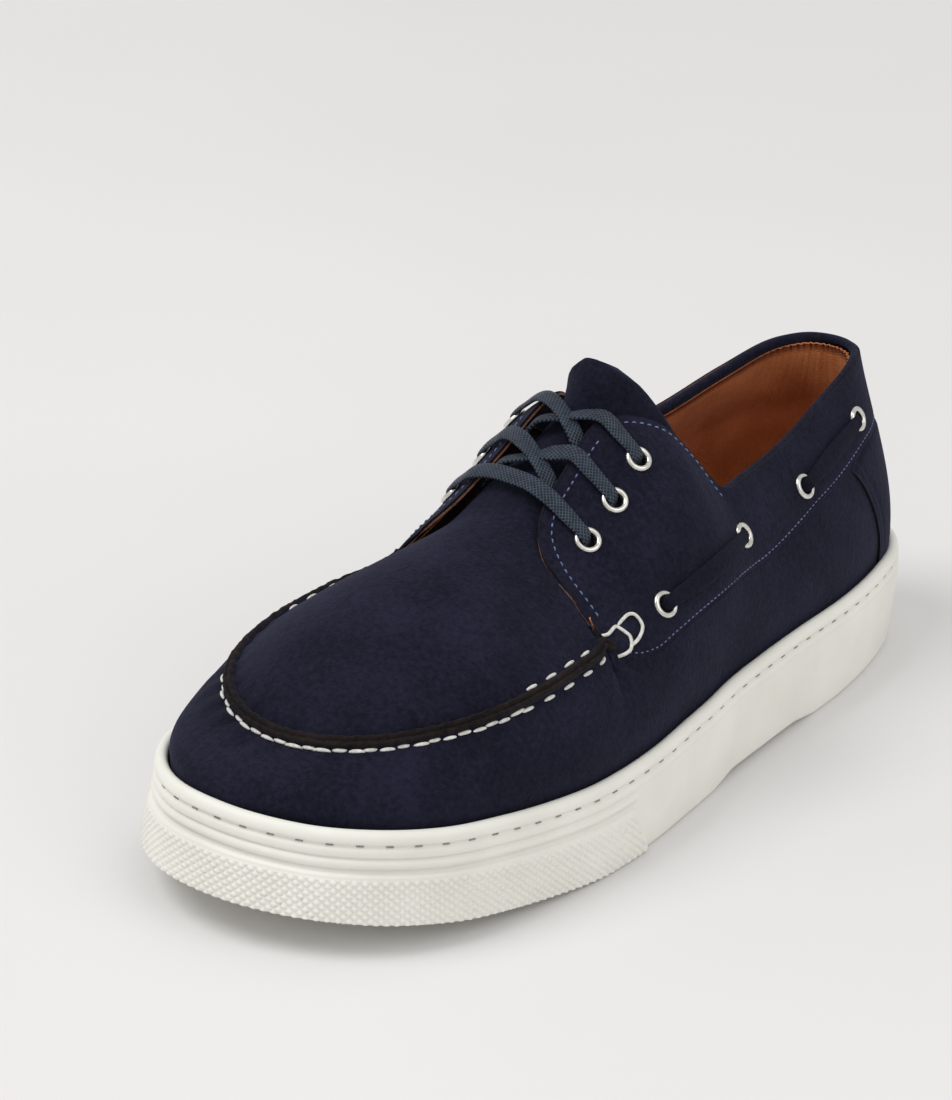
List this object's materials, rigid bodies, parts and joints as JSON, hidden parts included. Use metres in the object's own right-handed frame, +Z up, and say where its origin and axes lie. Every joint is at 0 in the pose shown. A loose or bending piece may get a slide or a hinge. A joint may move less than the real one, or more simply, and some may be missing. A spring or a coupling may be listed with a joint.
{
  "type": "boat shoe",
  "caption": "Boat shoe for the left foot: navy suede upper with a raised moccasin seam, slate laces and a suede side thong, on an off-white rubber cup sole.",
  "frame": {"origin": "on the floor under the middle of the bounding box", "axes": "+Z up, toe toward -Y, heel toward +Y, the outer (lateral) side toward +X"},
  "size_m": [0.116, 0.3026, 0.1175],
  "materials": {
    "suede": "napped",
    "rubber": "satin",
    "lining": "matte",
    "nickel": "polished",
    "lace": "waxed"
  },
  "bodies": {
    "root": {"heel_counter": "suede", "insole": "lining", "lace_bar": "lace", "lace_cross_lower": "lace", "lace_cross_upper": "lace", "lace_eyelet_inner_1": "nickel", "lace_eyelet_inner_2": "nickel", "lace_eyelet_inner_3": "nickel", "lace_eyelet_outer_1": "nickel", "lace_eyelet_outer_2": "nickel", "lace_eyelet_outer_3": "nickel", "outsole": "rubber", "side_eyelet_inner_1": "nickel", "side_eyelet_inner_2": "nickel", "side_eyelet_inner_3": "nickel", "side_eyelet_inner_4": "nickel", "side_eyelet_outer_1": "nickel", "side_eyelet_outer_2": "nickel", "side_eyelet_outer_3": "nickel", "side_eyelet_outer_4": "nickel", "thong_inner_front": "suede", "thong_inner_rear": "suede", "thong_outer_front": "suede", "thong_outer_rear": "suede", "tongue": "suede", "upper": "suede"}
  },
  "joints": []
}
